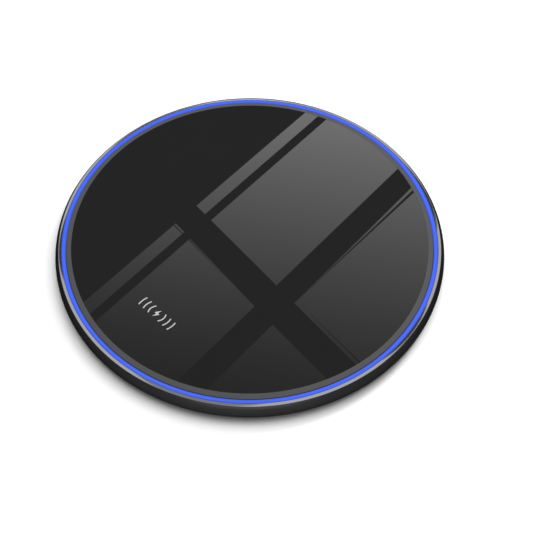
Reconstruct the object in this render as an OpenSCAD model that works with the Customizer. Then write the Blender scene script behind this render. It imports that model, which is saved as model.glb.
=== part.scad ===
// Round wireless charging pad: a glass disc and a glowing ring in a thin aluminium housing.
// Millimetres, +Z up. The origin is on the table, on the axis of the pad.
// The USB-C port faces +Y, and the printed mark on the glass is on the -Y side.

/* [Housing] */
// Largest diameter of the housing
body_d = 100; // [98:0.5:106]
// Height from the table to the top of the glass
total_h = 7.5; // [7.5:0.1:8.5]
// Height above the table at which the side wall is widest
widest_z = 4.3; // [4:0.1:4.6]
// Radius of the curve that tucks the side wall in under its widest point
tuck_r = 4.4; // [4.2:0.1:6]
// How much wider the widest point is than the edge of the chamfer
bulge = 0.9; // [0.7:0.1:1.2]
// Radial width of the bright chamfer round the rim
chamfer_w = 0.7; // [0.5:0.1:0.8]
// Height of that chamfer
chamfer_h = 0.27; // [0.2:0.01:0.4]

/* [Glass] */
// Thickness of the glass panel
glass_t = 1.2; // [1:0.05:1.25]
// Radial width of the bevel round the glass
bevel_w = 1.3; // [0.8:0.1:1.6]
// Height of that bevel
bevel_h = 0.6; // [0.4:0.05:0.8]

/* [Light ring] */
// Width of the ring that shows round the glass
light_w = 1.15; // [0.8:0.05:1.3]
// Number of light-emitting diodes that shine into it
led_count = 8; // [4:4:16]

/* [Coil] */
// Outside diameter of the winding
coil_d = 49; // [44:0.5:50]
// Diameter of the space inside the winding
coil_hole_d = 20; // [16:0.5:22]
// Turns in each of the two layers
coil_turns = 10; // [8:1:11]
// Diameter of the ferrite sheet under the winding
ferrite_d = 52; // [51:0.5:52]

/* [Underside] */
// How far the anti-slip ring stands below the bottom cover
foot_proud = 0.6; // [0.4:0.1:0.6]
// Width of the anti-slip ring
grip_w = 5; // [4:0.5:6]
// Number of cooling slots in the bottom cover
vent_count = 24; // [12:4:32]

/* [Hidden] */
$fn = 96;

eps = 0.01; // how far a cutting shape runs past the face it cuts

// Radii, from the outside in
body_r = body_d / 2;
lip_r = body_r - bulge;              // outer edge of the chamfer
rim_r = lip_r - chamfer_w;           // inner edge of the chamfer, and the bore behind it
light_out_r = rim_r - 0.05;
light_in_r = light_out_r - light_w;
glass_r = light_in_r - 0.1;
cover_r = body_r - 3.1;              // bottom cover
cover_seat_r = cover_r + 0.1;        // its recess in the housing
ledge_r = cover_r - 0.7;             // ledge inside the housing
board_r = ledge_r - 0.4;
board_hole_r = ferrite_d / 2 + 2;
pocket_r = board_hole_r + 0.6;       // opening in the frame for the coil and ferrite
frame_r = light_in_r - 0.15;
coil_r = coil_d / 2;
coil_hole_r = coil_hole_d / 2;
grip_out_r = cover_r - 1.4;
grip_in_r = grip_out_r - grip_w;
cover_screw_r = body_r - 13.5;       // circle that the cover screws stand on
board_screw_r = board_hole_r + 3.7;  // circle that the board screws stand on

// Heights, from the table up
cover_z = foot_proud;
cover_t = 1.3;
floor_z = cover_z + cover_t;         // inside face of the bottom cover
ledge_top = floor_z + 1.5;
board_z = floor_z + 0.7;
board_t = 1;
board_top = board_z + board_t;
glass_z = total_h - glass_t;
adhesive_t = 0.2;
deck_top = glass_z - adhesive_t;     // top of the inner frame
deck_t = 0.6;
deck_z = deck_top - deck_t;
ring_top = total_h - bevel_h - 0.05; // visible face of the light ring
rim_z = ring_top - 0.08;             // top of the metal rim
lip_z = rim_z - chamfer_h;
shoulder_h = lip_z - widest_z;
shoulder_r = (bulge * bulge + shoulder_h * shoulder_h) / (2 * bulge);

// Coil stack, from the glass down
film_t = 0.1;
layer_t = 0.75;
coil_top = glass_z - film_t;
coil_z = coil_top - 2 * layer_t;
coil_glue_t = 0.1;
ferrite_t = 1;
ferrite_top = coil_z - coil_glue_t;
ferrite_z = ferrite_top - ferrite_t;
turn_pitch = (coil_r - coil_hole_r) / (coil_turns + 1);
turn_gap = 0.15;                     // gap between neighbouring turns
spiral_step = 12;                    // degrees between the points of the spiral
coil_angle = 345;                    // where the winding starts and its two tails come out
tail_gap_angle = 5;                  // half of the angle between the tails
tail_d = 0.66;
sensor_angle = 200;                  // where the thermistor's wires run
sensor_d = 1.4;
sensor_wire_d = 0.4;
sensor_z = ferrite_z - 0.35;         // height of those wires under the ferrite

// USB-C receptacle
usb_w = 8.94;
usb_h = 3.26;
usb_l = 7.35;
usb_wall = 0.3;
usb_front_y = body_r - 0.8;
usb_z = floor_z + 0.25 + usb_h / 2;  // middle of the port
port_gap = 0.18;                     // gap round the receptacle in the port window

// Screws
cover_screw_angles = [45, 135, 225, 315];
board_screw_angles = [30, 150, 270];
boss_r = 2.2;
post_r = 1.9;
screw_r = 0.93;
pilot_r = 0.95;
boss_z = floor_z + 0.4;              // where the frame's bosses meet the cover's
cover_screw_len = 3.9;
head_r = 1.8;
head_t = 0.8;

// Colours
anodised_black = [0.04, 0.04, 0.045];
glass_black = [0.02, 0.02, 0.022];
glow_blue = [0.06, 0.16, 0.9];
moulded_black = [0.06, 0.06, 0.06];
package_black = [0.09, 0.09, 0.09];
copper = [0.72, 0.4, 0.22];
board_green = [0.03, 0.22, 0.1];
steel = [0.7, 0.7, 0.72];

// ---- helpers -------------------------------------------------------------

// Flat ring between two radii, from height z, thickness t
module ring(r_in, r_out, z, t) {
    translate([0, 0, z]) linear_extrude(t) difference() {
        circle(r_out);
        circle(r_in);
    }
}

// Puts its children at radius r and angle a, with their +X pointing outward
module on_circle(r, a, z = 0) {
    rotate(a) translate([r, 0, z]) children();
}

// Slot outline with round ends, w wide and h high, about the origin
module stadium(w, h) {
    square([w - h, h], center = true);
    for (side = [-1, 1]) translate([side * (w - h) / 2, 0]) circle(h / 2);
}

// Slot-shaped bar along +Y from y0 to y1, centred on the port
module port_bar(w, h, y0, y1) {
    translate([0, y1, usb_z]) rotate([90, 0, 0]) linear_extrude(y1 - y0) stadium(w, h);
}

// Box resting on height z, centred in X and Y
module block(size, z = 0) {
    translate([-size.x / 2, -size.y / 2, z]) cube(size);
}

// Chip part with metal end caps, resting on the board, long side along Y
module end_capped(size, cap) {
    body = [size.x - 0.1, size.y - 2 * cap, size.z - 0.05];
    block(body, board_top);
    for (side = [-1, 1])
        translate([0, side * (size.y - cap) / 2, 0]) block([size.x, cap, size.z], board_top);
}

// Round wire through a list of points, a little thicker at each bend
module wire(points, d) {
    for (i = [0 : len(points) - 2]) {
        run = points[i + 1] - points[i];
        translate(points[i]) {
            rotate([0, acos(run.z / norm(run)), atan2(run.y, run.x)])
                cylinder(d = d, h = norm(run), $fn = 24);
            if (i > 0) sphere(d = 1.1 * d, $fn = 24);
        }
    }
}

// Point at radius r, angle a and height z
function polar(r, a, z) = [r * cos(a), r * sin(a), z];

// Half section of a screw whose seat is at height 0 and whose shank runs up to len
module screw_shank(len) {
    pitch = 0.4;
    root_r = screw_r - 0.15;
    turns = floor((len - 0.6) / pitch);
    first = len - 0.3 - turns * pitch;
    crests = [for (i = [0 : turns - 1]) each [
        [root_r, first + i * pitch],
        [screw_r, first + (i + 0.5) * pitch]
    ]];
    rotate_extrude($fn = 48)
        polygon(concat([[0, 0], [root_r, 0]], crests, [[root_r, len - 0.3], [0, len]]));
}

// Cross-shaped driver recess, cut upward from height 0
module cross_recess(depth) {
    for (a = [0, 90]) rotate(a) translate([0, 0, -eps]) block([1.9, 0.45, depth + eps]);
}

// ---- glass, light ring and housing ---------------------------------------

module glass_panel() {
    color(glass_black) rotate_extrude() polygon([
        [0, glass_z], [glass_r, glass_z], [glass_r, total_h - bevel_h],
        [glass_r - bevel_w, total_h], [0, total_h]
    ]);
}

module glass_adhesive() {
    color("gainsboro") ring(pocket_r + 0.4, frame_r - 0.3, deck_top, adhesive_t);
}

// The wall shows round the glass. The flange is held down by the inner frame.
module light_ring() {
    flange_t = 0.5;
    color(glow_blue) difference() {
        union() {
            ring(light_in_r, light_out_r, ledge_top, ring_top - ledge_top);
            ring(light_in_r - 1.3, light_in_r + eps, deck_z - flange_t, flange_t);
        }
        port_bar(usb_w + 0.5, usb_h + 0.4, ledge_r - 2, body_r);
    }
}

module housing_section() {
    difference() {
        union() {
            intersection() {
                translate([body_r - shoulder_r, widest_z]) circle(shoulder_r);
                translate([ledge_r, widest_z]) square([body_r - ledge_r, rim_z - widest_z]);
            }
            intersection() {
                translate([body_r - tuck_r, widest_z]) circle(tuck_r);
                translate([ledge_r, cover_z]) square([body_r - ledge_r, widest_z - cover_z]);
            }
        }
        translate([ledge_r - eps, ledge_top]) square([rim_r - ledge_r + eps, total_h]);
        translate([ledge_r - eps, 0]) square([cover_seat_r - ledge_r + eps, floor_z]);
        polygon([[rim_r, rim_z], [lip_r, lip_z], [body_r + 1, lip_z], [body_r + 1, total_h], [rim_r, total_h]]);
    }
}

module housing() {
    color(anodised_black) difference() {
        rotate_extrude() housing_section();
        port_bar(usb_w + 2 * port_gap, usb_h + 2 * port_gap, ledge_r - 2, body_r + 1);
    }
}

// ---- inner frame ---------------------------------------------------------

// Deck under the glass, with bosses for the cover screws, posts for the board and fins round the ferrite
module inner_frame() {
    fin_in_r = ferrite_d / 2 + 0.15;
    fin_angles = [0 : 60 : 300];
    color("whitesmoke") difference() {
        union() {
            ring(pocket_r, frame_r, deck_z, deck_t);
            for (a = cover_screw_angles)
                on_circle(cover_screw_r, a, boss_z) cylinder(r = boss_r, h = deck_z - boss_z + eps);
            for (a = board_screw_angles)
                on_circle(board_screw_r, a, board_top) cylinder(r = post_r, h = deck_z - board_top + eps);
            for (a = fin_angles)
                on_circle((fin_in_r + pocket_r + 0.5) / 2, a + 12)
                    block([pocket_r + 0.5 - fin_in_r, 2, deck_top - board_top - 0.1], board_top + 0.1);
        }
        for (a = cover_screw_angles)
            on_circle(cover_screw_r, a, boss_z - eps) cylinder(r = pilot_r, h = deck_z - boss_z - 0.3);
        for (a = board_screw_angles)
            on_circle(board_screw_r, a, board_top - eps) cylinder(r = pilot_r, h = deck_z - board_top - 0.3);
    }
}

// ---- coil stack ----------------------------------------------------------

// Point on the spiral after k steps, a distance w out from its inner edge
function spiral_point(k, w) = let (a = k * spiral_step)
    [for (part = [cos(a), sin(a)]) part * (coil_hole_r + w + turn_pitch * a / 360)];

// One layer of the winding: a flat bundle of fine strands that spirals out from +X
module winding_layer(z) {
    steps = 360 * coil_turns / spiral_step;
    bundle_w = turn_pitch - turn_gap;
    translate([0, 0, z]) linear_extrude(layer_t - 0.02) polygon(concat(
        [for (k = [0 : steps]) spiral_point(k, 0)],
        [for (k = [steps : -1 : 0]) spiral_point(k, bundle_w)]
    ));
}

// Two layers, wound opposite ways and joined at the inside, so that both tails leave at the outside
module charging_coil() {
    lower_z = coil_z + 0.01;
    upper_z = lower_z + layer_t;
    color(copper) rotate(coil_angle) {
        winding_layer(lower_z);
        mirror([0, 1, 0]) rotate(tail_gap_angle) winding_layer(upper_z);
        on_circle(coil_hole_r + turn_pitch / 2, -tail_gap_angle / 2)
            block([0.8, 1.6, layer_t], lower_z + layer_t / 2);
        for (tail = [[lower_z, -1.5], [upper_z, 0.5]]) {
            a = tail[1] * tail_gap_angle;
            z = tail[0] + layer_t / 2;
            wire([
                polar(coil_r - 0.6, -tail_gap_angle / 2, z), polar(board_hole_r - 0.7, a, z),
                polar(board_hole_r - 0.6, a, board_top + 0.8),
                polar(board_hole_r + 2, a, board_top + tail_d * 0.55)
            ], tail_d);
        }
    }
}

module coil_film() {
    color("darkgoldenrod") ring(3, coil_r, coil_top, film_t);
}

module coil_adhesive() {
    color("gainsboro") ring(coil_hole_r, coil_r, ferrite_top, coil_glue_t);
}

module ferrite_shield() {
    color("dimgray") ring(1.5, ferrite_d / 2, ferrite_z, ferrite_t);
}

// Springy ring that pushes the coil stack up against the glass, with a groove for the thermistor's wires
module foam_pad() {
    groove_w = 1.6;
    color("darkslategray") difference() {
        ring(8, ferrite_d / 2 - 2, floor_z, ferrite_z - floor_z);
        rotate(sensor_angle) translate([0, -groove_w / 2, ferrite_z - 0.7])
            cube([ferrite_d, groove_w, 1]);
    }
}

// Bead on the ferrite inside the coil, with two wires down through the ferrite and out to the board
module thermistor() {
    color("tan") rotate(sensor_angle) {
        translate([0, 0, ferrite_top]) cylinder(d = sensor_d, h = 0.5, $fn = 32);
        translate([0, 0, ferrite_top + 0.5]) sphere(d = sensor_d, $fn = 32);
        for (y = [-0.4, 0.4]) wire([
            [0, y, ferrite_top + 0.1], [0, y, sensor_z], [board_hole_r - 1, y, sensor_z],
            [board_hole_r - 0.8, y, board_top + 0.45],
            [board_hole_r + 1.5, y, board_top + sensor_wire_d / 2]
        ], sensor_wire_d);
    }
}

// ---- circuit board and what is soldered to it ----------------------------

function led_angle(i) = 90 + (i + 0.5) * 360 / led_count;

module main_board() {
    color(board_green) difference() {
        ring(board_hole_r, board_r, board_z, board_t);
        for (a = cover_screw_angles)
            on_circle(cover_screw_r, a, board_z - eps) cylinder(r = boss_r + 0.4, h = board_t + 1);
        for (a = board_screw_angles)
            on_circle(board_screw_r, a, board_z - eps) cylinder(r = 1.1, h = board_t + 1);
        translate([0, body_r - usb_l / 2 - 0.9, board_z - eps])
            block([usb_w + 0.3, usb_l + 0.5, board_t + 1]);
    }
}

// Quad flat package with a ring of contact pads at its foot
module controller_chip() {
    side_l = 5;
    color(package_black) on_circle(36, 64) {
        block([side_l, side_l, 0.85], board_top + 0.05);
        for (turn = [0 : 90 : 270], i = [-3.5 : 1 : 3.5])
            rotate(turn) translate([side_l / 2 - 0.2, i * 0.5, 0]) block([0.5, 0.25, 0.2], board_top);
    }
}

// Two power packages side by side, each with eight leads
module bridge_mosfets() {
    color(package_black) for (a = [14, 27]) on_circle(38.3, a) {
        block([5, 6, 1], board_top + 0.05);
        for (side = [-1, 1], i = [-1.5 : 1 : 1.5])
            translate([side * 2.65, i * 1.27, 0]) block([0.7, 0.45, 0.25], board_top);
    }
}

module power_inductor() {
    color("slategray") on_circle(37, 117) {
        block([4.6, 4.6, 0.3], board_top);
        translate([0, 0, board_top + 0.3]) linear_extrude(1.2) intersection() {
            square(4.6, center = true);
            circle(2.75);
        }
    }
}

module resonant_capacitors() {
    color("burlywood") for (a = [-27 : 9 : 0]) on_circle(38.5, a) end_capped([2.5, 3.2, 1.6], 0.5);
}

module input_capacitors() {
    color("burlywood") for (a = [76, 102]) on_circle(41.5, a) end_capped([2.6, 3.2, 1.6], 0.5);
}

module chip_passives() {
    color("saddlebrown") for (r = [35, 38.5, 42], a = [160 : 6 : 208])
        on_circle(r, a) end_capped([0.8, 1.6, 0.6], 0.3);
}

module regulator() {
    color(package_black) on_circle(40.5, 150) {
        block([2.5, 4.5, 1.5], board_top + 0.05);
        for (i = [-1 : 1]) translate([-1.6, i * 1.5, 0]) block([0.9, 0.5, 0.3], board_top);
        translate([1.5, 0, 0]) block([0.7, 1.7, 0.3], board_top);
    }
}

// Side-view diodes at the edge of the board, each with its window towards the light ring
module ring_leds() {
    color("ivory") for (i = [0 : led_count - 1]) on_circle(light_in_r - 1.75, led_angle(i)) difference() {
        block([1.5, 3, 1], board_top);
        translate([0.75, 0, 0]) block([0.5, 2.2, 0.6], board_top + 0.2);
    }
}

// ---- USB-C receptacle ----------------------------------------------------

module usb_shell() {
    back_y = usb_front_y - usb_l;
    color(steel) {
        difference() {
            port_bar(usb_w, usb_h, back_y, usb_front_y);
            port_bar(usb_w - 2 * usb_wall, usb_h - 2 * usb_wall, back_y + usb_wall, usb_front_y + 1);
        }
        for (side = [-1, 1], y = [back_y + 1.2, back_y + 3.6])
            translate([side * (usb_w / 2 + 0.3), y, 0]) block([1.2, 1, 0.3], board_top);
    }
}

// Insulator: a block at the back of the shell with the tongue that carries the contacts
module usb_tongue() {
    back_y = usb_front_y - usb_l + usb_wall;
    color(moulded_black) {
        port_bar(usb_w - 2 * usb_wall - 0.04, usb_h - 2 * usb_wall - 0.04, back_y + 0.02, back_y + 1.6);
        translate([0, back_y + 3.8, 0]) block([6.69, 4.6, 0.7], usb_z - 0.35);
    }
}

// Twelve gold strips on each face of the tongue
module usb_contacts() {
    back_y = usb_front_y - usb_l + usb_wall;
    color("gold") for (i = [-5.5 : 1 : 5.5], face = [-1, 1])
        translate([i * 0.5, back_y + 3.6, 0]) block([0.25, 3.8, 0.04], usb_z + face * 0.37 - 0.02);
}

// ---- underside -----------------------------------------------------------

// Pan-head screws from below, through the board into the frame's posts
module board_screws() {
    color(steel) for (a = board_screw_angles) on_circle(board_screw_r, a, board_z) {
        difference() {
            translate([0, 0, -0.6]) cylinder(r = 1.7, h = 0.6, $fn = 48);
            translate([0, 0, -0.6]) cross_recess(0.35);
        }
        screw_shank(board_t + 1.5);
    }
}

module vent_slots() {
    slot_in = board_hole_r + 0.4;
    for (i = [0 : vent_count - 1])
        rotate((i + 0.5) * 360 / vent_count) translate([slot_in + 2.2, 0]) stadium(4.4, 1.2);
}

module bottom_cover() {
    rim_in = ledge_r - 0.9;
    rim_out = ledge_r - 0.2;
    sink_z = cover_z + 0.1;
    color(moulded_black) difference() {
        union() {
            translate([0, 0, cover_z]) linear_extrude(cover_t) difference() {
                circle(cover_r);
                vent_slots();
            }
            ring(rim_in, rim_out, floor_z - eps, 0.6);
            for (a = cover_screw_angles)
                on_circle(cover_screw_r, a, floor_z - eps) cylinder(r = boss_r, h = boss_z - floor_z + eps);
        }
        ring(grip_in_r - 0.1, grip_out_r + 0.1, cover_z - eps, 0.3 + eps);
        translate([0, ledge_r - 1, floor_z]) block([usb_w + 2, 4, 2]);
        for (a = cover_screw_angles) on_circle(cover_screw_r, a) {
            translate([0, 0, cover_z - eps]) cylinder(r = head_r + 0.1, h = 0.1 + 2 * eps);
            translate([0, 0, sink_z]) cylinder(r1 = head_r + 0.1, r2 = screw_r + 0.22, h = head_t);
            translate([0, 0, sink_z]) cylinder(r = screw_r + 0.22, h = 3);
        }
    }
}

// Countersunk screws through the bottom cover into the frame's bosses
module cover_screws() {
    color(steel) for (a = cover_screw_angles) on_circle(cover_screw_r, a, cover_z + 0.12) {
        difference() {
            cylinder(r1 = head_r, r2 = screw_r, h = head_t);
            cross_recess(0.45);
        }
        translate([0, 0, head_t]) screw_shank(cover_screw_len - head_t);
    }
}

// Silicone ring in a groove of the cover, with two shallow grooves in its own foot
module anti_slip_ring() {
    groove_w = 0.6;
    groove_h = 0.25;
    color("black") difference() {
        ring(grip_in_r, grip_out_r, 0, cover_z + 0.3);
        for (share = [1/3, 2/3]) {
            r = grip_in_r + grip_w * share;
            ring(r - groove_w / 2, r + groove_w / 2, -eps, groove_h + eps);
        }
    }
}

// ---- nodes ---------------------------------------------------------------

glass_panel();
glass_adhesive();
light_ring();
housing();
inner_frame();
coil_film();
charging_coil();
coil_adhesive();
ferrite_shield();
foam_pad();
thermistor();
main_board();
controller_chip();
bridge_mosfets();
power_inductor();
resonant_capacitors();
input_capacitors();
chip_passives();
regulator();
ring_leds();
usb_shell();
usb_tongue();
usb_contacts();
board_screws();
bottom_cover();
cover_screws();
anti_slip_ring();
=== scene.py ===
"""The looks of a round wireless charging pad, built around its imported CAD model.

Metres, +Z up, the origin on the table under the middle of the pad. +Y is the side of the USB-C port.
"""
import math

import bmesh
import bpy
from mathutils import Matrix, Vector


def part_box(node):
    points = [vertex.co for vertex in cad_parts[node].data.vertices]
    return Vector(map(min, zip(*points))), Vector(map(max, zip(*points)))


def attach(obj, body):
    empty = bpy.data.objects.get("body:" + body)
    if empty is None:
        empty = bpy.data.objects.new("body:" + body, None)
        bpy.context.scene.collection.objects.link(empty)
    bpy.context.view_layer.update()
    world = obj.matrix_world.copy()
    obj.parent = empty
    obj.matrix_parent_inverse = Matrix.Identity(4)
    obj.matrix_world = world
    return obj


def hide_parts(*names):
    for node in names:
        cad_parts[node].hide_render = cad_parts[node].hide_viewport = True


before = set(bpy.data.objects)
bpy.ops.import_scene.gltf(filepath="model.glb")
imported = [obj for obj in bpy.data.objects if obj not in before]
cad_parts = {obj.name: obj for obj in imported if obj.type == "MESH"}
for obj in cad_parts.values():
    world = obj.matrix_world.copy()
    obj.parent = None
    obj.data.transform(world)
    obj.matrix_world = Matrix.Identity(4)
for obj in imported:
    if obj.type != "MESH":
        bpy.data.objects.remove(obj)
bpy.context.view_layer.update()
BODY = "root"
MM = 0.001
TURN = 2 * math.pi

# ---- sizes taken from the CAD nodes -------------------------------------------------


def reach(node):
    """Radius, lowest and highest point of a round CAD node."""
    low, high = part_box(node)
    return max(high.x, -low.x), low.z, high.z


GLASS_R, GLASS_Z0, GLASS_Z1 = reach("glass_panel")
LIGHT_R, LIGHT_Z0, LIGHT_Z1 = reach("light_ring")
BODY_R, BODY_Z0, RIM_Z = reach("housing")
COVER_R, COVER_Z0, COVER_Z1 = reach("bottom_cover")
FOOT_R, FOOT_Z0, FOOT_Z1 = reach("anti_slip_ring")
SHELL_LOW, SHELL_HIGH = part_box("usb_shell")
PORT_Z = (SHELL_LOW.z + SHELL_HIGH.z) / 2
PORT_H = SHELL_HIGH.z - SHELL_LOW.z
LIGHT_SHOWN = LIGHT_R - GLASS_R - 0.1 * MM  # width of the light ring's visible face
LED_COUNT = 8

# ---- camera ------------------------------------------------------------------------

CAMERA_AZIMUTH = math.radians(47.5)
CAMERA_ELEVATION = math.radians(54.15)
CAMERA_DISTANCE = 0.9
CAMERA_LENS = 230.5
AIM_RIGHT = 6.6 * MM  # how far right of the pad's axis the camera aims
AIM_NEAR = 9.1 * MM  # how far to the near side of the axis it aims


def turned(right, away, up=0.0):
    """A point given by its distance to the camera's right and away from the camera, along the floor."""
    c, s = math.cos(CAMERA_AZIMUTH), math.sin(CAMERA_AZIMUTH)
    return Vector((right * c - away * s, right * s + away * c, up))


def camera_back():
    """Unit vector from the pad towards the camera."""
    return turned(0, -math.cos(CAMERA_ELEVATION), math.sin(CAMERA_ELEVATION))


def make_camera():
    data = bpy.data.cameras.new("camera")
    data.lens = CAMERA_LENS
    data.sensor_width = 36
    data.clip_start = 0.05
    data.clip_end = 20
    camera = bpy.data.objects.new("camera", data)
    bpy.context.scene.collection.objects.link(camera)
    camera.location = turned(AIM_RIGHT, -AIM_NEAR, LIGHT_Z1) + camera_back() * CAMERA_DISTANCE
    camera.rotation_mode = "QUATERNION"
    camera.rotation_quaternion = (-camera_back()).to_track_quat("-Z", "Y")
    bpy.context.scene.camera = camera
    return camera


# ---- shader helpers -----------------------------------------------------------------


class Nodes:
    """Short calls that add nodes to a node tree."""

    def __init__(self, tree):
        self.tree = tree

    def node(self, kind, inputs=(), **settings):
        made = self.tree.nodes.new(kind)
        for key, value in settings.items():
            setattr(made, key, value)
        for key, value in dict(inputs).items():
            if isinstance(value, bpy.types.NodeSocket):
                self.tree.links.new(value, made.inputs[key])
            else:
                made.inputs[key].default_value = value
        return made

    def place(self):
        return self.node("ShaderNodeTexCoord").outputs["Object"]

    def axes(self):
        """The object's X, Y and Z as separate values."""
        return self.node("ShaderNodeSeparateXYZ", {0: self.place()}).outputs

    def math(self, operation, *values):
        return self.node("ShaderNodeMath", dict(enumerate(values)), operation=operation).outputs[0]

    def dot(self, first, second):
        inputs = {0: first, 1: second}
        return self.node("ShaderNodeVectorMath", inputs, operation="DOT_PRODUCT").outputs["Value"]

    def spread(self, value, low, high, start=0.0, end=1.0, kind="LINEAR"):
        """value mapped from start..end to low..high."""
        inputs = {"Value": value, "From Min": start, "From Max": end, "To Min": low, "To Max": high}
        return self.node("ShaderNodeMapRange", inputs, interpolation_type=kind).outputs[0]


class Shader(Nodes):
    """A procedural material: a Principled shader and the nodes in front of it."""

    def __init__(self, name, **values):
        self.material = bpy.data.materials.new(name)
        self.material.use_nodes = True
        super().__init__(self.material.node_tree)
        self.surface = self.tree.nodes["Principled BSDF"]
        for socket, value in values.items():
            self.set(socket.replace("_", " "), value)

    def set(self, socket, value):
        slot = self.surface.inputs[socket]
        if isinstance(value, bpy.types.NodeSocket):
            self.tree.links.new(value, slot)
        elif isinstance(value, tuple):
            slot.default_value = (*value, 1.0)
        else:
            slot.default_value = value

    def noise(self, size, detail=3.0, rough=0.55):
        """Noise whose features are about size metres across."""
        inputs = {"Vector": self.place(), "Scale": 1 / size, "Detail": detail, "Roughness": rough}
        return self.node("ShaderNodeTexNoise", inputs).outputs["Fac"]

    def stretched(self, scale):
        """The object's coordinates, scaled by a different amount along each axis."""
        return self.node("ShaderNodeMapping", {"Vector": self.place(), "Scale": scale}).outputs[0]

    def blend(self, value, first, second):
        """Colour between first and second, by value from 0 to 1."""
        ramp = self.node("ShaderNodeValToRGB", {"Fac": value})
        ramp.color_ramp.elements[0].color = (*first, 1)
        ramp.color_ramp.elements[1].color = (*second, 1)
        return ramp.outputs["Color"]

    def mix(self, factor, first, second):
        made = self.node("ShaderNodeMix", {0: factor}, data_type="RGBA")
        for socket, value in ((6, first), (7, second)):
            if isinstance(value, bpy.types.NodeSocket):
                self.tree.links.new(value, made.inputs[socket])
            else:
                made.inputs[socket].default_value = (*value, 1)
        return made.outputs[2]

    def bump(self, height, distance, strength=1.0):
        inputs = {"Height": height, "Distance": distance, "Strength": strength}
        self.set("Normal", self.node("ShaderNodeBump", inputs).outputs[0])

    def radius(self):
        """Distance from the pad's axis, in metres."""
        x, y, _ = self.axes()
        return self.math("SQRT", self.math("ADD", self.math("POWER", x, 2.0), self.math("POWER", y, 2.0)))

    def angle(self):
        """Angle round the pad's axis, in radians."""
        x, y, _ = self.axes()
        return self.math("ARCTAN2", y, x)


# ---- materials ------------------------------------------------------------------------


def glass_material():
    """Black back-printed glass: a clean polish with faint wipe marks."""
    s = Shader("black_glass", IOR=1.5)
    s.set("Base Color", s.blend(s.noise(9 * MM), (0.0042, 0.0042, 0.0042), (0.0055, 0.0055, 0.0055)))
    wipes = s.node("ShaderNodeTexNoise", {"Vector": s.stretched((60, 260, 60)), "Scale": 1.0, "Detail": 4.0})
    s.set("Roughness", s.spread(wipes.outputs["Fac"], 0.001, 0.006, 0.4, 0.7))
    return s.material


def bevel_material():
    """The ground edge of the glass, a satin grey."""
    s = Shader("ground_bevel", IOR=1.5, Specular_IOR_Level=0.12)
    grain = s.noise(0.12 * MM, 2.0)
    s.set("Base Color", s.blend(grain, (0.064, 0.063, 0.062), (0.08, 0.079, 0.077)))
    s.set("Roughness", s.spread(s.noise(0.6 * MM), 0.5, 0.62))
    s.bump(grain, 0.004 * MM)
    return s.material


def light_material():
    """Milky ring lit from inside: brightest along its middle, dark below, and with a faint wave round it."""
    s = Shader("light_guide", IOR=1.49, Roughness=0.32, Specular_IOR_Level=0.3)
    middle = LIGHT_R - LIGHT_SHOWN / 2
    off = s.math("ABSOLUTE", s.math("SUBTRACT", s.radius(), middle))
    across = s.spread(off, 1.0, 0.6, LIGHT_SHOWN * 0.15, LIGHT_SHOWN * 0.5)
    from_diode = s.math("ADD", s.angle(), TURN / LED_COUNT / 2)
    wave = s.math("COSINE", s.math("MULTIPLY", from_diode, float(LED_COUNT)))
    along = s.spread(wave, 0.95, 1.03, -1.0, 1.0)
    haze = s.spread(s.noise(1.5 * MM), 0.98, 1.02)
    upper = s.spread(s.axes()[2], 0.0, 1.0, LIGHT_Z1 - 1.2 * MM, LIGHT_Z1 - 0.3 * MM)
    s.set("Base Color", s.blend(s.noise(0.4 * MM), (0.012, 0.025, 0.11), (0.016, 0.032, 0.14)))
    s.set("Emission Color", (0.043, 0.106, 0.77))
    shape = s.math("MULTIPLY", across, along)
    s.set("Emission Strength", s.math("MULTIPLY", shape, s.math("MULTIPLY", haze, upper)))
    return s.material


def anodised_material():
    """Fine bead-blasted aluminium, anodised black."""
    s = Shader("anodised_black", Specular_IOR_Level=0.4, IOR=1.5)
    blast = s.noise(0.09 * MM, 2.0)
    s.set("Base Color", s.blend(s.noise(4 * MM), (0.0055, 0.0055, 0.006), (0.008, 0.008, 0.0085)))
    s.set("Roughness", s.spread(s.noise(1.2 * MM), 0.31, 0.38))
    s.bump(blast, 0.006 * MM, 0.6)
    return s.material


def chamfer_material():
    """Bright diamond-cut aluminium, with the cutter's fine circular lines."""
    s = Shader("cut_aluminium", Metallic=1.0, Anisotropic=0.3)
    lines = s.math("SINE", s.math("MULTIPLY", s.radius(), TURN / (0.05 * MM)))
    s.set("Base Color", s.blend(s.noise(2 * MM), (0.86, 0.86, 0.86), (0.92, 0.92, 0.91)))
    s.set("Roughness", s.spread(lines, 0.06, 0.12, -1.0, 1.0))
    s.bump(lines, 0.0003 * MM, 0.5)
    s.set("Tangent", s.node("ShaderNodeTangent", direction_type="RADIAL", axis="Z").outputs[0])
    return s.material


def textured_plastic(name, dark, light, grain, roughness, depth):
    """Moulded plastic with a fine spark-eroded texture."""
    s = Shader(name, IOR=1.5, Specular_IOR_Level=0.4)
    cells = s.node("ShaderNodeTexVoronoi", {"Vector": s.place(), "Scale": 1 / grain}).outputs["Distance"]
    s.set("Base Color", s.blend(s.noise(3 * MM), dark, light))
    s.set("Roughness", s.spread(s.noise(grain * 3), roughness - 0.05, roughness + 0.05))
    s.bump(cells, depth, 0.6)
    return s.material


def silicone_material():
    """Matte silicone rubber with a little pale dust."""
    s = Shader("silicone", IOR=1.41, Specular_IOR_Level=0.3, Sheen_Weight=0.08, Sheen_Roughness=0.6)
    dust = s.spread(s.noise(0.35 * MM, 5.0, 0.7), 0.0, 1.0, 0.62, 0.8)
    body = s.blend(s.noise(5 * MM), (0.024, 0.024, 0.025), (0.031, 0.031, 0.032))
    s.set("Base Color", s.mix(dust, body, (0.075, 0.075, 0.075)))
    s.set("Roughness", s.spread(s.noise(0.8 * MM), 0.72, 0.86))
    s.bump(s.noise(0.15 * MM), 0.01 * MM, 0.5)
    return s.material


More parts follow.
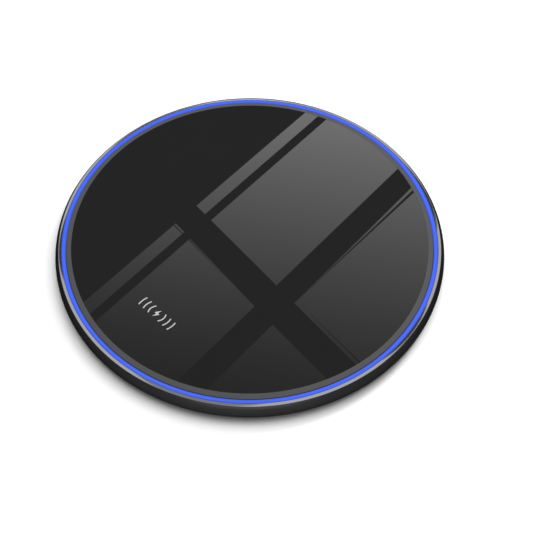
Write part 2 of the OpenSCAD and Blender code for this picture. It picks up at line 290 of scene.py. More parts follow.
def metal_material(name, dark, light, roughness, stretch=(1, 1, 1)):
    """Plated or rolled metal with a directional grain."""
    s = Shader(name, Metallic=1.0)
    grain = s.node("ShaderNodeTexNoise", {"Vector": s.stretched(stretch), "Scale": 6000.0, "Detail": 3.0})
    s.set("Base Color", s.blend(s.noise(1.5 * MM), dark, light))
    s.set("Roughness", s.spread(grain.outputs["Fac"], roughness - 0.08, roughness + 0.08))
    s.bump(grain.outputs["Fac"], 0.002 * MM, 0.4)
    return s.material


def board_material():
    """Green solder mask with a fine raised pattern under it and small gold spots."""
    s = Shader("circuit_board", IOR=1.5)
    inputs = {"Vector": s.stretched((1, 1, 0)), "Scale": 900.0, "Randomness": 0.2}
    cells = s.node("ShaderNodeTexVoronoi", inputs, distance="MANHATTAN", feature="F1").outputs["Distance"]
    tracks = s.spread(cells, 1.0, 0.0, 0.42, 0.46)
    mask = s.mix(tracks, (0.008, 0.075, 0.03), (0.02, 0.15, 0.055))
    inputs = {"Vector": s.stretched((1, 1, 0)), "Scale": 420.0}
    holes = s.node("ShaderNodeTexVoronoi", inputs).outputs["Distance"]
    s.set("Base Color", s.mix(s.spread(holes, 1.0, 0.0, 0.08, 0.1), mask, (0.6, 0.5, 0.3)))
    s.set("Roughness", s.spread(s.noise(0.8 * MM), 0.22, 0.34))
    s.bump(tracks, 0.02 * MM, 0.6)
    return s.material


def copper_material():
    """Bundles of enamelled strands: fine ridges that follow the winding, with painted shade darkening the
    copper in the troughs between them.
    """
    s = Shader("copper_wire", Metallic=1.0)
    strand_ridges_and_shade = s.math("SINE", s.math("MULTIPLY", s.radius(), TURN / (0.12 * MM)))
    # Painted shade: the base colour turns to dark copper in the troughs between strands, following the bump
    # pattern.
    s.set("Base Color", s.blend(s.spread(strand_ridges_and_shade, 0, 1, -1, 1), (0.32, 0.11, 0.05), (0.62, 0.27, 0.13)))
    s.set("Roughness", s.spread(s.noise(0.5 * MM), 0.25, 0.4))
    s.bump(strand_ridges_and_shade, 0.02 * MM, 0.8)
    return s.material


def speckled_material(name, dark, light, size, roughness, **values):
    """A fired or foamed body with fine speckles."""
    s = Shader(name, **values)
    grain = s.noise(size, 5.0, 0.7)
    s.set("Base Color", s.blend(grain, dark, light))
    s.set("Roughness", s.spread(s.noise(size * 4), roughness - 0.06, roughness + 0.06))
    s.bump(grain, size * 0.1, 0.5)
    return s.material


def ceramic_material(name, dark, light):
    """Smooth ceramic body of a chip part. Its tinned ends are not shown."""
    s = Shader(name, IOR=1.5)
    s.set("Base Color", s.blend(s.noise(0.3 * MM, 4.0), dark, light))
    s.set("Roughness", s.spread(s.noise(0.2 * MM), 0.25, 0.4))
    return s.material


def film_material():
    """Amber polyimide film."""
    s = Shader("amber_film", IOR=1.7, Coat_Weight=0.3, Coat_Roughness=0.1)
    s.set("Base Color", s.blend(s.noise(6 * MM), (0.42, 0.17, 0.02), (0.55, 0.25, 0.035)))
    s.set("Roughness", s.spread(s.noise(2 * MM), 0.15, 0.3))
    return s.material


def print_material():
    """Thin pale grey screen print on the glass."""
    s = Shader("mark_print", IOR=1.5, Specular_IOR_Level=0.2)
    s.set("Base Color", s.blend(s.noise(0.2 * MM), (0.4, 0.4, 0.4), (0.46, 0.46, 0.46)))
    s.set("Roughness", s.spread(s.noise(0.1 * MM), 0.5, 0.6))
    return s.material


# ---- mesh helpers -------------------------------------------------------------------

ROUND_STEPS = 288  # segments round the pad
HIDDEN_STEPS = 192  # segments round the pieces underneath
SHARP = 32


def rounded(outline, steps=5):
    """Turns corners [r, z, fillet radius, face material] into points [r, z, face material].
    A face material belongs to the face that starts at its corner."""
    points = []
    count = len(outline)
    for i, (r, z, fillet, face) in enumerate(outline):
        here = Vector((r, z))
        if fillet == 0:
            points.append((r, z, face))
            continue
        before = Vector(outline[i - 1][:2]) - here
        after = Vector(outline[(i + 1) % count][:2]) - here
        half = before.angle(after) / 2
        back = fillet / math.tan(half)
        middle = here + (before.normalized() + after.normalized()).normalized() * fillet / math.sin(half)
        first = here + before.normalized() * back - middle
        last = here + after.normalized() * back - middle
        sweep = first.angle_signed(last)
        for k in range(steps + 1):
            arm = first.copy()
            arm.rotate(Matrix.Rotation(-sweep * k / steps, 2))
            points.append((middle.x + arm.x, middle.y + arm.y, face))
    return points


def arc_points(centre_r, centre_z, radius, start, end, steps, face):
    """Points of an arc in the profile plane, by angles in degrees from outwards to up."""
    out = []
    for k in range(steps + 1):
        a = math.radians(start + (end - start) * k / steps)
        out.append((centre_r + radius * math.cos(a), centre_z + radius * math.sin(a), face))
    return out


def finish_mesh(name, bm, materials, sharp=SHARP, weighted=True):
    """Makes a piece of the mesh. Edges that turn by more than sharp degrees are not smoothed."""
    mesh = bpy.data.meshes.new(name)
    bmesh.ops.recalc_face_normals(bm, faces=bm.faces)
    bm.to_mesh(mesh)
    bm.free()
    mesh.shade_smooth()
    mesh.set_sharp_from_angle(angle=math.radians(sharp))
    for material in materials:
        mesh.materials.append(material)
    piece = bpy.data.objects.new(name, mesh)
    bpy.context.scene.collection.objects.link(piece)
    if weighted:
        modifier = piece.modifiers.new("flat_faces", "WEIGHTED_NORMAL")
        modifier.weight = 90
        modifier.keep_sharp = True
    return piece


def lathe_mesh(points, steps=ROUND_STEPS):
    """Spins a closed profile of (r, z, face material) about Z. Points at r = 0 become one vertex."""
    bm = bmesh.new()
    rings = []
    for r, z, _ in points:
        if r < 1e-9:
            rings.append([bm.verts.new((0, 0, z))] * steps)
            continue
        rings.append([
            bm.verts.new((r * math.cos(TURN * k / steps), r * math.sin(TURN * k / steps), z))
            for k in range(steps)
        ])
    for i, ring in enumerate(rings):
        following = rings[(i + 1) % len(rings)]
        for k in range(steps):
            n = (k + 1) % steps
            corners = list(dict.fromkeys((ring[k], ring[n], following[n], following[k])))
            if len(corners) > 2:
                face = bm.faces.new(corners)
                face.material_index = points[i][2]
    return bm


def lathe(name, points, materials, steps=ROUND_STEPS, sharp=SHARP):
    return finish_mesh(name, lathe_mesh(points, steps), materials, sharp)


def slot_outline(width, height, steps=24):
    """Points of a slot with round ends, anticlockwise, centred on the origin."""
    points = []
    for side in (1, -1):
        for k in range(steps + 1):
            a = -math.pi / 2 + math.pi * k / steps
            x = side * ((width - height) / 2 + height / 2 * math.cos(a))
            points.append((x, side * height / 2 * math.sin(a)))
    return points


def loft(name, outlines, to_point, materials):
    """Joins a list of outlines, each a list of 2-D points, into a solid. to_point places a point."""
    bm = bmesh.new()
    loops = [[bm.verts.new(to_point(p, i)) for p in outline] for i, outline in enumerate(outlines)]
    for a, b in zip(loops, loops[1:]):
        for k in range(len(a)):
            n = (k + 1) % len(a)
            bm.faces.new((a[k], a[n], b[n], b[k]))
    bm.faces.new(loops[0])
    bm.faces.new(loops[-1])
    return finish_mesh(name, bm, materials, weighted=False)


def cut(piece, cutters):
    """Subtracts the cutters from the piece, applies that and deletes them."""
    for cutter in cutters:
        modifier = piece.modifiers.new("cut", "BOOLEAN")
        modifier.operation = "DIFFERENCE"
        modifier.solver = "EXACT"
        modifier.object = cutter
        piece.modifiers.move(len(piece.modifiers) - 1, 0)
        with bpy.context.temp_override(object=piece, active_object=piece):
            bpy.ops.object.modifier_apply(modifier=modifier.name)
        bpy.data.objects.remove(cutter)
    piece.data.set_sharp_from_angle(angle=math.radians(SHARP))


def stand_for(piece, node):
    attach(piece, BODY)
    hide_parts(node)
    return piece


# ---- the rim, the glass and the light ring -----------------------------------------------

WIDEST_Z = 4.3 * MM  # where the side wall is widest
TUCK_R = 4.4 * MM  # curve of the wall below that
LIP_R = BODY_R - 0.9 * MM  # outer edge of the chamfer
BORE_R = LIGHT_R + 0.05 * MM  # inner edge of the chamfer
LIP_Z = RIM_Z - 0.27 * MM
SEAT_R = COVER_R + 0.1 * MM
LEDGE_R = COVER_R - 0.7 * MM
FLOOR_Z = COVER_Z0 + 1.3 * MM  # inside face of the bottom cover
PORT_GAP = 0.18 * MM
PRINT_T = 0.01 * MM  # thickness of the print, which lies flush with the top of the CAD glass
BEVEL_W = 1.3 * MM
BEVEL_H = 0.6 * MM
FLANGE_W = 1.3 * MM  # the light ring's flange, which the inner frame holds down
FLANGE_H = 0.5 * MM
FLANGE_TOP = GLASS_Z0 - 0.8 * MM
BORE_BREAK = 0.03 * MM  # chamfer's broken inner edge
SHELL_WIDTH = 8.94 * MM
SHELL_WALL = 0.3 * MM


def make_glass(top_finish, bevel_finish):
    top = GLASS_Z1 - PRINT_T
    points = rounded([
        [0, GLASS_Z0, 0, 1],
        [GLASS_R, GLASS_Z0, 0.08 * MM, 1],
        [GLASS_R, GLASS_Z1 - BEVEL_H, 0.1 * MM, 1],
        [GLASS_R - BEVEL_W, top, 0.12 * MM, 0],
        [0, top, 0, 0],
    ])
    return stand_for(lathe("glass_top", points, [top_finish, bevel_finish]), "glass_panel")


def port_cutter(width, height, y0, y1):
    """A slot-shaped bar along Y."""
    ends = (y0, y1)
    outlines = [slot_outline(width, height)] * 2
    return loft("cutter", outlines, lambda p, i: (p[0], ends[i], p[1] + PORT_Z), [])


def make_light_ring(finish):
    inner = LIGHT_R - LIGHT_SHOWN
    flange_r = inner - FLANGE_W
    points = rounded([
        [inner, LIGHT_Z0, 0, 0],
        [LIGHT_R, LIGHT_Z0, 0, 0],
        [LIGHT_R, LIGHT_Z1, 0.18 * MM, 0],
        [inner, LIGHT_Z1, 0.18 * MM, 0],
        [inner, FLANGE_TOP, 0, 0],
        [flange_r, FLANGE_TOP, 0, 0],
        [flange_r, FLANGE_TOP - FLANGE_H, 0, 0],
        [inner, FLANGE_TOP - FLANGE_H, 0, 0],
    ])
    piece = lathe("glow_ring", points, [finish])
    width = SHELL_WIDTH + 0.5 * MM
    cut(piece, [port_cutter(width, PORT_H + 0.4 * MM, LEDGE_R - 2 * MM, BODY_R)])
    return stand_for(piece, "light_ring")


def make_housing(wall_finish, cut_finish):
    shoulder_h = LIP_Z - WIDEST_Z
    bulge = BODY_R - LIP_R
    shoulder_r = (bulge**2 + shoulder_h**2) / (2 * bulge)
    lip_angle = math.degrees(math.asin(shoulder_h / shoulder_r))
    tuck_angle = math.degrees(math.asin((WIDEST_Z - BODY_Z0) / TUCK_R))
    shoulder = arc_points(BODY_R - shoulder_r, WIDEST_Z, shoulder_r, lip_angle, 0, 14, 0)
    tuck = arc_points(BODY_R - TUCK_R, WIDEST_Z, TUCK_R, 0, -tuck_angle, 16, 0)
    inside = rounded([
        [SEAT_R, BODY_Z0, 0, 0],
        [SEAT_R, FLOOR_Z, 0, 0],
        [LEDGE_R, FLOOR_Z, 0, 0],
        [LEDGE_R, LIGHT_Z0, 0, 0],
        [BORE_R, LIGHT_Z0, 0, 0],
        [BORE_R, RIM_Z - BORE_BREAK, 0, 1],
        [BORE_R + BORE_BREAK, RIM_Z, 0, 1],
    ])
    piece = lathe("rim_housing", shoulder + tuck[1:] + inside, [wall_finish, cut_finish], sharp=15)
    width = SHELL_WIDTH + 2 * PORT_GAP
    cut(piece, [port_cutter(width, PORT_H + 2 * PORT_GAP, LEDGE_R - 2 * MM, BODY_R + MM)])
    return stand_for(piece, "housing")


# ---- the port ---------------------------------------------------------------------------


def make_shell(finish):
    """The receptacle's rolled steel shell, with a rounded lip at its mouth."""
    back, front = SHELL_LOW.y, SHELL_HIGH.y
    inside = 2 * SHELL_WALL
    steps = [
        (back, 0), (front - 0.1 * MM, 0), (front - 0.03 * MM, 0.06 * MM), (front, 0.16 * MM),
        (front, inside - 0.16 * MM), (front - 0.03 * MM, inside - 0.06 * MM),
        (front - 0.1 * MM, inside), (back + SHELL_WALL, inside),
    ]
    outlines = [slot_outline(SHELL_WIDTH - inset, PORT_H - inset) for _, inset in steps]
    piece = loft("port_shell", outlines, lambda p, i: (p[0], steps[i][0], p[1] + PORT_Z), [finish])
    return stand_for(piece, "usb_shell")


# ---- the underside ------------------------------------------------------------------------

GRIP_W = 5 * MM
VENT_COUNT = 24
VENT_SIZE = (4.4 * MM, 1.2 * MM)
VENT_R = 30.6 * MM  # middle of each vent slot
VENT_FLARE = 0.24 * MM  # how much wider a vent is at its mouth
SCREW_HEAD_R = 1.8 * MM
SCREW_HOLE_R = 1.15 * MM
SCREW_ANGLES = [45, 135, 225, 315]
SCREW_CIRCLE = (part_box("cover_screws")[1].x - SCREW_HEAD_R) / math.cos(math.radians(45))


def on_circle(radius, degrees):
    a = math.radians(degrees)
    return Matrix.Translation((radius * math.cos(a), radius * math.sin(a), 0)) @ Matrix.Rotation(a, 4, "Z")


def cover_cutters():
    cutters = []
    for k in range(VENT_COUNT):
        place = on_circle(VENT_R, (k + 0.5) * 360 / VENT_COUNT)
        heights = [COVER_Z0 - MM, COVER_Z0, COVER_Z0 + 0.12 * MM, FLOOR_Z + MM]
        flares = [VENT_FLARE, VENT_FLARE, 0, 0]
        outlines = [slot_outline(VENT_SIZE[0] + flare, VENT_SIZE[1] + flare, 10) for flare in flares]
        cutters.append(loft("cutter", outlines, lambda p, i: place @ Vector((p[0], p[1], heights[i])), []))
    for degrees in SCREW_ANGLES:
        points = [
            (0, COVER_Z0 - MM, 0),
            (SCREW_HEAD_R + 0.2 * MM, COVER_Z0 - MM, 0),
            (SCREW_HEAD_R + 0.2 * MM, COVER_Z0, 0),
            (SCREW_HEAD_R + 0.1 * MM, COVER_Z0 + 0.1 * MM, 0),
            (SCREW_HOLE_R, COVER_Z0 + 0.9 * MM, 0),
            (SCREW_HOLE_R, COVER_Z1 + MM, 0),
            (0, COVER_Z1 + MM, 0),
        ]
        hole = lathe("cutter", points, [], 40)
        hole.data.transform(on_circle(SCREW_CIRCLE, degrees))
        cutters.append(hole)
    return cutters


def make_cover(finish):
    lip_out, lip_in = LEDGE_R - 0.2 * MM, LEDGE_R - 0.9 * MM
    groove_z = COVER_Z0 + 0.3 * MM
    grip_in = FOOT_R - GRIP_W
    points = rounded([
        [0, COVER_Z0, 0, 0],
        [grip_in - 0.1 * MM, COVER_Z0, 0.06 * MM, 0],
        [grip_in - 0.1 * MM, groove_z, 0, 0],
        [FOOT_R + 0.1 * MM, groove_z, 0, 0],
        [FOOT_R + 0.1 * MM, COVER_Z0, 0.06 * MM, 0],
        [COVER_R, COVER_Z0, 0.25 * MM, 0],
        [COVER_R, FLOOR_Z, 0, 0],
        [lip_out, FLOOR_Z, 0, 0],
        [lip_out, COVER_Z1, 0.1 * MM, 0],
        [lip_in, COVER_Z1, 0.1 * MM, 0],
        [lip_in, FLOOR_Z, 0, 0],
        [0, FLOOR_Z, 0, 0],
    ])
    piece = lathe("base_plate", points, [finish], HIDDEN_STEPS)
    cut(piece, cover_cutters())
    return stand_for(piece, "bottom_cover")


def make_foot(finish):
    """The silicone ring, with rounded edges and two shallow grooves in its foot."""
    inner = FOOT_R - GRIP_W
    outline = [[inner, FOOT_Z1, 0, 0], [inner, FOOT_Z0, 0.2 * MM, 0]]
    for share in (1 / 3, 2 / 3):
        middle, half, depth = inner + GRIP_W * share, 0.3 * MM, 0.25 * MM
        outline += [
            [middle - half, FOOT_Z0, 0.08 * MM, 0], [middle - half * 0.7, FOOT_Z0 + depth, 0.08 * MM, 0],
            [middle + half * 0.7, FOOT_Z0 + depth, 0.08 * MM, 0], [middle + half, FOOT_Z0, 0.08 * MM, 0],
        ]
    outline += [[FOOT_R, FOOT_Z0, 0.2 * MM, 0], [FOOT_R, FOOT_Z1, 0, 0]]
    piece = lathe("grip_ring", rounded(outline), [finish], HIDDEN_STEPS)
    return stand_for(piece, "anti_slip_ring")


# ---- the printed mark ------------------------------------------------------------------------

MARK_R = 31.7 * MM  # from the pad's axis to the middle of the mark
LINE_W = 0.3 * MM
BOLT = [(0.25, 1.5), (-0.75, -0.15), (-0.1, -0.15), (-0.3, -1.5), (0.75, 0.2), (0.1, 0.2)]
BOLT_SCALE = 0.95 * MM
WAVES = ((2.3, 76), (3.9, 44), (5.5, 31))  # each wave's radius in mm and its spread in degrees


def flat_solid(bm, outline, base, thickness):
    """Adds a thin plate with the given outline, a list of 2-D points in order."""
    low = [bm.verts.new((x, y, base)) for x, y in outline]
    high = [bm.verts.new((x, y, base + thickness)) for x, y in outline]
    bm.faces.new(low)
    bm.faces.new(high)
    for k in range(len(low)):
        n = (k + 1) % len(low)
        bm.faces.new((low[k], low[n], high[n], high[k]))


def arc_strip(radius, spread, side):
    """Outline of a curved line, LINE_W wide, bulging towards side, which is 1 or -1."""
    start, steps = math.radians(spread) / 2, 18
    inner, outer = radius - LINE_W / 2, radius + LINE_W / 2
    points = [(outer, -start + 2 * start * k / steps) for k in range(steps + 1)]
    points += [(inner, start - 2 * start * k / steps) for k in range(steps + 1)]
    return [(side * r * math.cos(a), r * math.sin(a)) for r, a in points]


def make_mark(finish):
    """A lightning bolt between waves, the common sign for charging through the air."""
    bm = bmesh.new()
    base = GLASS_Z1 - PRINT_T
    flat_solid(bm, [(x * BOLT_SCALE, y * BOLT_SCALE) for x, y in BOLT], base, PRINT_T)
    for side in (-1, 1):
        for radius, spread in WAVES:
            flat_solid(bm, arc_strip(radius * MM, spread, side), base, PRINT_T)
    bmesh.ops.translate(bm, verts=bm.verts, vec=(0, -MARK_R, 0))
    piece = finish_mesh("charging_mark", bm, [finish], weighted=False)
    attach(piece, BODY)
    return piece


# ---- the stage ------------------------------------------------------------------------------


def emitter(name, strength=1.0):
    """Material of a card that shines with the given strength."""
    material = bpy.data.materials.new(name)
    material.use_nodes = True
    material.node_tree.nodes.clear()
    nodes = Nodes(material.node_tree)
    shine = nodes.node("ShaderNodeEmission", {"Strength": strength})
    nodes.node("ShaderNodeOutputMaterial", {"Surface": shine.outputs[0]})
    return material


def card(name, corners, material):
    """A flat card that only shows in reflections."""
    mesh = bpy.data.meshes.new(name)
    mesh.from_pydata([tuple(c) for c in corners], [], [tuple(range(len(corners)))])
    mesh.materials.append(material)
    piece = bpy.data.objects.new(name, mesh)
    bpy.context.scene.collection.objects.link(piece)
    piece.visible_camera = False
    piece.visible_diffuse = False
    piece.visible_shadow = False
    return piece


# The window that the glass reflects, in mm on the glass as the camera's side sees it. Its rails run
# up to the right, its stile down to the right.
RAIL_LEAN = 48.8  # direction of a rail through the axis, in degrees
RAILS_SPREAD = 0.075  # how many degrees a rail turns for each mm that it lies nearer the camera
STILE_LEAN = -50.8  # direction of the stile, in degrees
WINDOW_TOP = 18.8  # from the axis to the window's top edge
STRIP_H = 3.5  # the low panes along the top
TOP_RAIL_W = 2.5
PANE_H = 26.2
RAIL_W = 7.0
STILE_RIGHT = -2.7  # from the axis to the stile's right edge
STILE_W = 8.5
BEAD_W = 0.95  # the bright bead along the stile
BEAD_TURN = 0.9  # how far the putty lines turn away from the bars, in degrees
SLIT = (0.3, 0.8)  # a slit of light beside the top left pane, from the stile's left edge
HAIR = (0.1, 0.35)  # a hairline of light in the stile, from the same edge
HAIR_TURN = -1.1  # how far it turns away from the stile, in degrees
PAST_GLASS = 90  # where panes that run off the glass end
WINDOW_UP = 1.2  # height of the window above the glass, in metres
WINDOW_SHINE = (0.265, 3.05)  # its dark end, and what its bright end adds
WINDOW_FADE = (-62.0, 44.0)  # where the window is dark and where it is brightest, in mm on the glass
FADE_SLANT = 0.21  # how far the fade leans to the right


def line_meeting(first, second):
    """Where two lines cross, each a (distance, direction) pair."""
    rows = []
    for distance, degrees in (first, second):
        a = math.radians(degrees)
        rows.append((-math.sin(a), math.cos(a), distance))
    (a, b, e), (c, d, f) = rows
    span = a * d - b * c
    return ((e * d - b * f) / span, (a * f - e * c) / span)


def through(point, degrees):
    """The line through a point in a direction, as a (distance, direction) pair."""
    a = math.radians(degrees)
    return point[1] * math.cos(a) - point[0] * math.sin(a), degrees


def rail(distance):
    return distance, RAIL_LEAN - RAILS_SPREAD * distance


def stile(distance, turn=0.0):
    return distance, STILE_LEAN + turn


def window_panes():
    """Each pane's high and low edge, then its right and left edge."""
    strip_low = WINDOW_TOP - STRIP_H
    high = strip_low - TOP_RAIL_W
    low = high - PANE_H
    distances = (WINDOW_TOP, strip_low, high, low, low - RAIL_W)
    top, under_strip, pane_top, pane_low, lower = map(rail, distances)
    stile_left = STILE_RIGHT - STILE_W
    right, left = stile(STILE_RIGHT), stile(stile_left)
    far_right, far_left, bottom = stile(PAST_GLASS), stile(-PAST_GLASS), (-PAST_GLASS, lower[1])
    bead = stile(STILE_RIGHT + BEAD_W)
    corner, bead_corner = line_meeting(lower, right), line_meeting(lower, bead)
    bead_top = through(corner, lower[1] - BEAD_TURN)
    glass_top = through(corner, lower[1] - 2 * BEAD_TURN)
    glass_left = through(bead_corner, STILE_LEAN + BEAD_TURN)
    slit_left, slit_right = (stile(stile_left + d) for d in SLIT)
    hair_left, hair_right = (stile(stile_left + d, HAIR_TURN) for d in HAIR)
    return [
        (top, under_strip, far_right, right),
        (top, under_strip, slit_right, slit_left),
        (top, under_strip, left, far_left),
        (pane_top, pane_low, far_right, right),
        (pane_top, pane_low, hair_right, hair_left),
        (pane_top, pane_low, left, far_left),
        (lower, bead_top, far_right, right),
        (bead_top, bottom, bead, right),
        (glass_top, bottom, far_right, glass_left),
        (lower, bottom, left, far_left),
    ]


def window_scale(camera):
    above = camera.location.z - GLASS_Z1
    return (above + WINDOW_UP) / above


def seen_in_glass(camera, point):
    """The place on the window's plane that the camera sees mirrored at a point of the glass, in mm."""
    on_glass = turned(point[0] * MM, point[1] * MM)
    foot = Vector((camera.location.x, camera.location.y, 0))
    spot = foot + (on_glass - foot) * window_scale(camera)
    return Vector((spot.x, spot.y, GLASS_Z1 + WINDOW_UP))


def window_material(camera):
    """Sky behind the window, which fades from the far right to the near left."""
    material = emitter("window_sky")
    nodes = Nodes(material.node_tree)
    lean = turned(FADE_SLANT, 1.0)
    dark, bright = (seen_in_glass(camera, (0, t)).dot(lean) for t in WINDOW_FADE)
    share = nodes.spread(nodes.dot(nodes.place(), lean), 0.0, 1.0, dark, bright)
    low, added = WINDOW_SHINE
    strength = nodes.math("MULTIPLY_ADD", nodes.math("POWER", share, 2.0), added, low)
    nodes.tree.links.new(strength, nodes.tree.nodes["Emission"].inputs["Strength"])
    return material


def make_window(camera):
    sky = window_material(camera)
    for number, (high, low, right, left) in enumerate(window_panes()):
        corners = [(high, right), (high, left), (low, left), (low, right)]
        crossings = [line_meeting(a, b) for a, b in corners]
        card(f"window_pane_{number}", [seen_in_glass(camera, c) for c in crossings], sky)


DISC_SIDES = 96
CHAMFER_TILT = math.atan2(RIM_Z - LIP_Z, LIP_R - BORE_R)


def facing_disc(name, centre, diameter, material):
    """A round card at centre, turned to face the pad."""
    back = centre.normalized()
    across = Vector((-back.y, back.x, 0)).normalized()
    up = back.cross(across)
    corners = []
    for k in range(DISC_SIDES):
        a = TURN * (k + 0.5) / DISC_SIDES
        corners.append(centre + (across * math.cos(a) + up * math.sin(a)) * diameter / 2)
    return card(name, corners, material)


FLAG_AWAY = 0.7  # distance from the rim to each flag
FLAG_BLACK = 0.04
FLAG_GREY = 0.2  # of the wide flag near the camera
FLAGS = {
    "near_right": (-33, 0.27),
    "left": (178, 0.27),
    "near_left": (-107, 0.42),
    "far_left": (121, 0.24),
    "far_right": (23, 0.27),
}


def make_flags():
    """Dark discs that the bright chamfer mirrors to the camera as short dark stretches.
    Each has the angle of its stretch, anticlockwise from the camera's right, and its diameter."""
    black = emitter("flag_black", FLAG_BLACK)
    grey = emitter("flag_grey", FLAG_GREY)
    for name, (degrees, size) in FLAGS.items():
        a = math.radians(degrees)
        outward = turned(math.cos(a), math.sin(a))
        normal = outward * math.sin(CHAMFER_TILT) + Vector((0, 0, math.cos(CHAMFER_TILT)))
        mirrored = 2 * normal.dot(camera_back()) * normal - camera_back()
        spot = outward * (LIP_R + BORE_R) / 2 + Vector((0, 0, RIM_Z))
        shade = grey if name == "near_left" else black
        facing_disc(f"flag_{name}", spot + mirrored * FLAG_AWAY, size, shade)


def area_light(name, place, size, power, target=(0, 0, 0), glossy=False):
    data = bpy.data.lights.new(name, "AREA")
    data.shape = "RECTANGLE"
    data.size, data.size_y = size
    data.energy = power
    light = bpy.data.objects.new(name, data)
    bpy.context.scene.collection.objects.link(light)
    light.location = place
    light.rotation_mode = "QUATERNION"
    light.rotation_quaternion = (Vector(target) - Vector(place)).to_track_quat("-Z", "Y")
    light.visible_glossy = glossy
    light.visible_camera = False
    return light


def make_lights(housing):
    """Soft light from above, a key from the far right, and a strip that only the side wall mirrors."""
    area_light("overhead", turned(0.1, 0.1, 1.6), (1.6, 1.6), 30)
    area_light("key", turned(0.75, 0.75, 1.0), (0.35, 0.35), 9)
    strip = area_light("wall_strip", turned(0, -0.8, 0.38), (0.8, 0.5), 2.2, glossy=True)
    only = bpy.data.collections.new("lit_by_wall_strip")
    only.objects.link(housing)
    strip.light_linking.receiver_collection = only
    strip.light_linking.blocker_collection = only


ROOM_GREY = 0.265  # what the flat glass mirrors
CEILING_GREY = 0.42  # the rest of the room
DIFFUSE_GREY = 0.31  # light that the room sheds on everything
LOWER_SHARE = 0.07  # of the room's grey, below the horizon
GLOW = 0.7  # the lit table on the camera's side, which the side wall mirrors
GLOW_UP = math.radians(15)  # how far above the horizon the glow is aimed


def room_light(nodes, direction, height):
    """Grey above the horizon and nearly black below it. It is a little darker in the direction that
    the flat glass mirrors to the camera."""
    mirrored = turned(0, math.cos(CAMERA_ELEVATION), math.sin(CAMERA_ELEVATION))
    above = nodes.spread(height, LOWER_SHARE, 1.0, -0.02, 0.12, "SMOOTHSTEP")
    grey = nodes.spread(nodes.dot(direction, mirrored), CEILING_GREY, ROOM_GREY, 0.9, 0.98, "SMOOTHSTEP")
    return nodes.math("MULTIPLY", above, grey)


def table_glow(nodes, direction, height):
    """Light below the horizon, strongest on the camera's side."""
    near = nodes.dot(direction, turned(0, -math.cos(GLOW_UP), math.sin(GLOW_UP)))
    side = nodes.math("POWER", nodes.spread(near, 0.0, 1.0, -0.4, 1.0), 1.5)
    below = nodes.spread(height, GLOW, 0.0, -0.02, 0.1, "SMOOTHSTEP")
    return nodes.math("MULTIPLY", side, below)


def make_world():
    """White where the camera sees past the floor, one grey for diffuse light, a room in reflections."""
    world = bpy.data.worlds.new("studio")
    bpy.context.scene.world = world
    world.use_nodes = True
    world.cycles.sampling_method = "NONE"
    nodes = Nodes(world.node_tree)
    direction = nodes.node("ShaderNodeTexCoord").outputs["Generated"]
    height = nodes.node("ShaderNodeSeparateXYZ", {0: direction}).outputs[2]
    room = room_light(nodes, direction, height)
    strength = nodes.math("ADD", room, table_glow(nodes, direction, height))
    rays = nodes.node("ShaderNodeLightPath").outputs
    for ray, value in (("Is Diffuse Ray", DIFFUSE_GREY), ("Is Camera Ray", 1.0)):
        strength = nodes.node("ShaderNodeMix", {0: rays[ray], 2: strength, 3: value}).outputs[0]
    background = nodes.tree.nodes["Background"]
    nodes.tree.links.new(strength, background.inputs["Strength"])
    background.inputs["Color"].default_value = (1, 1, 1, 1)


def make_floor():
    bm = bmesh.new()
    bmesh.ops.create_circle(bm, cap_ends=True, radius=4.0, segments=96)
    bmesh.ops.translate(bm, verts=bm.verts, vec=(0, 0, -0.02 * MM))
    s = Shader("pale_floor", Roughness=0.9, Specular_IOR_Level=0.1)
    s.set("Base Color", s.blend(s.noise(0.2), (0.9, 0.9, 0.9), (0.92, 0.92, 0.92)))
    floor = finish_mesh("floor", bm, [s.material], weighted=False)
    floor.visible_glossy = False


# ---- putting it together ------------------------------------------------------------------


def dress(nodes, material):
    """Gives CAD nodes that stay as they are one material."""
    for name in nodes:
        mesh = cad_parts[name].data
        mesh.materials.clear()
        mesh.materials.append(material)


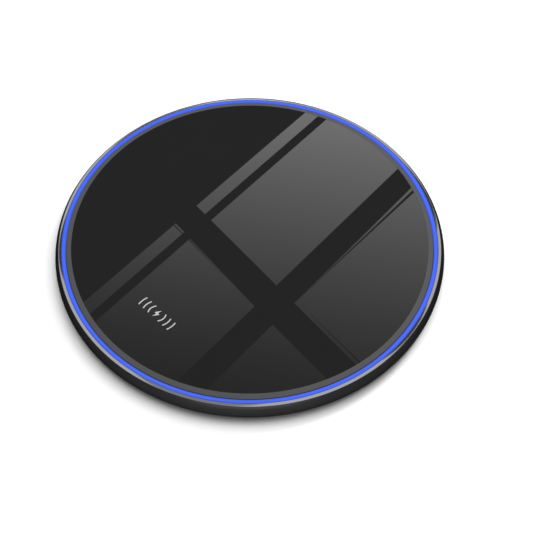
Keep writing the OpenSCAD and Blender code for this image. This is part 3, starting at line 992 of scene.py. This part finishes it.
def dress_inside():
    black, charcoal = (0.02, 0.02, 0.02), (0.03, 0.03, 0.03)
    package = textured_plastic("chip_package", black, charcoal, 0.06 * MM, 0.5, 0.003 * MM)
    ferrite = speckled_material("ferrite", (0.03, 0.03, 0.033), (0.06, 0.06, 0.065), 0.15 * MM, 0.5)
    tape = speckled_material("tape", (0.6, 0.6, 0.57), (0.7, 0.7, 0.66), 0.4 * MM, 0.5)
    foam = speckled_material("foam", (0.01, 0.01, 0.01), (0.04, 0.04, 0.04), 0.25 * MM, 0.9)
    tan = ceramic_material("capacitor_ceramic", (0.4, 0.26, 0.13), (0.5, 0.34, 0.19))
    brown = ceramic_material("passive_parts", (0.2, 0.13, 0.08), (0.28, 0.2, 0.13))
    resin = speckled_material("sensor_resin", (0.3, 0.16, 0.05), (0.42, 0.25, 0.1), 0.3 * MM, 0.3)
    cream, pale = (0.68, 0.68, 0.66), (0.74, 0.74, 0.72)
    white = textured_plastic("white_moulding", cream, pale, 0.15 * MM, 0.5, 0.004 * MM)
    led = speckled_material("led_package", (0.8, 0.8, 0.74), (0.86, 0.86, 0.8), 0.2 * MM, 0.35)
    zinc = metal_material("zinc_steel", (0.5, 0.5, 0.51), (0.62, 0.62, 0.64), 0.3, (1, 1, 0.2))
    dress(["inner_frame"], white)
    dress(["glass_adhesive", "coil_adhesive"], tape)
    dress(["coil_film"], film_material())
    dress(["charging_coil"], copper_material())
    dress(["ferrite_shield", "power_inductor"], ferrite)
    dress(["foam_pad"], foam)
    dress(["thermistor"], resin)
    dress(["main_board"], board_material())
    dress(["controller_chip", "bridge_mosfets", "regulator"], package)
    dress(["resonant_capacitors", "input_capacitors"], tan)
    dress(["chip_passives"], brown)
    dress(["ring_leds"], led)
    dress(["board_screws"], zinc)


def dress_port():
    black, charcoal = (0.012, 0.012, 0.012), (0.02, 0.02, 0.02)
    tongue = textured_plastic("port_plastic", black, charcoal, 0.08 * MM, 0.4, 0.002 * MM)
    gold = metal_material("contact_gold", (0.75, 0.5, 0.18), (0.85, 0.6, 0.25), 0.22, (1, 0.2, 1))
    dress(["usb_tongue"], tongue)
    dress(["usb_contacts"], gold)


def main():
    camera = make_camera()
    make_glass(glass_material(), bevel_material())
    make_light_ring(light_material())
    housing = make_housing(anodised_material(), chamfer_material())
    make_shell(metal_material("port_steel", (0.55, 0.55, 0.56), (0.66, 0.66, 0.67), 0.28, (1, 0.15, 1)))
    black, charcoal = (0.015, 0.015, 0.0155), (0.021, 0.021, 0.0215)
    cover = textured_plastic("cover_plastic", black, charcoal, 0.22 * MM, 0.6, 0.012 * MM)
    make_cover(cover)
    make_foot(silicone_material())
    make_mark(print_material())
    dress(["cover_screws"], metal_material("black_steel", (0.14, 0.14, 0.145), (0.22, 0.22, 0.225), 0.32))
    dress_inside()
    dress_port()
    make_floor()
    make_window(camera)
    make_flags()
    make_lights(housing)
    make_world()
    bpy.context.scene.view_settings.view_transform = "Standard"


main()
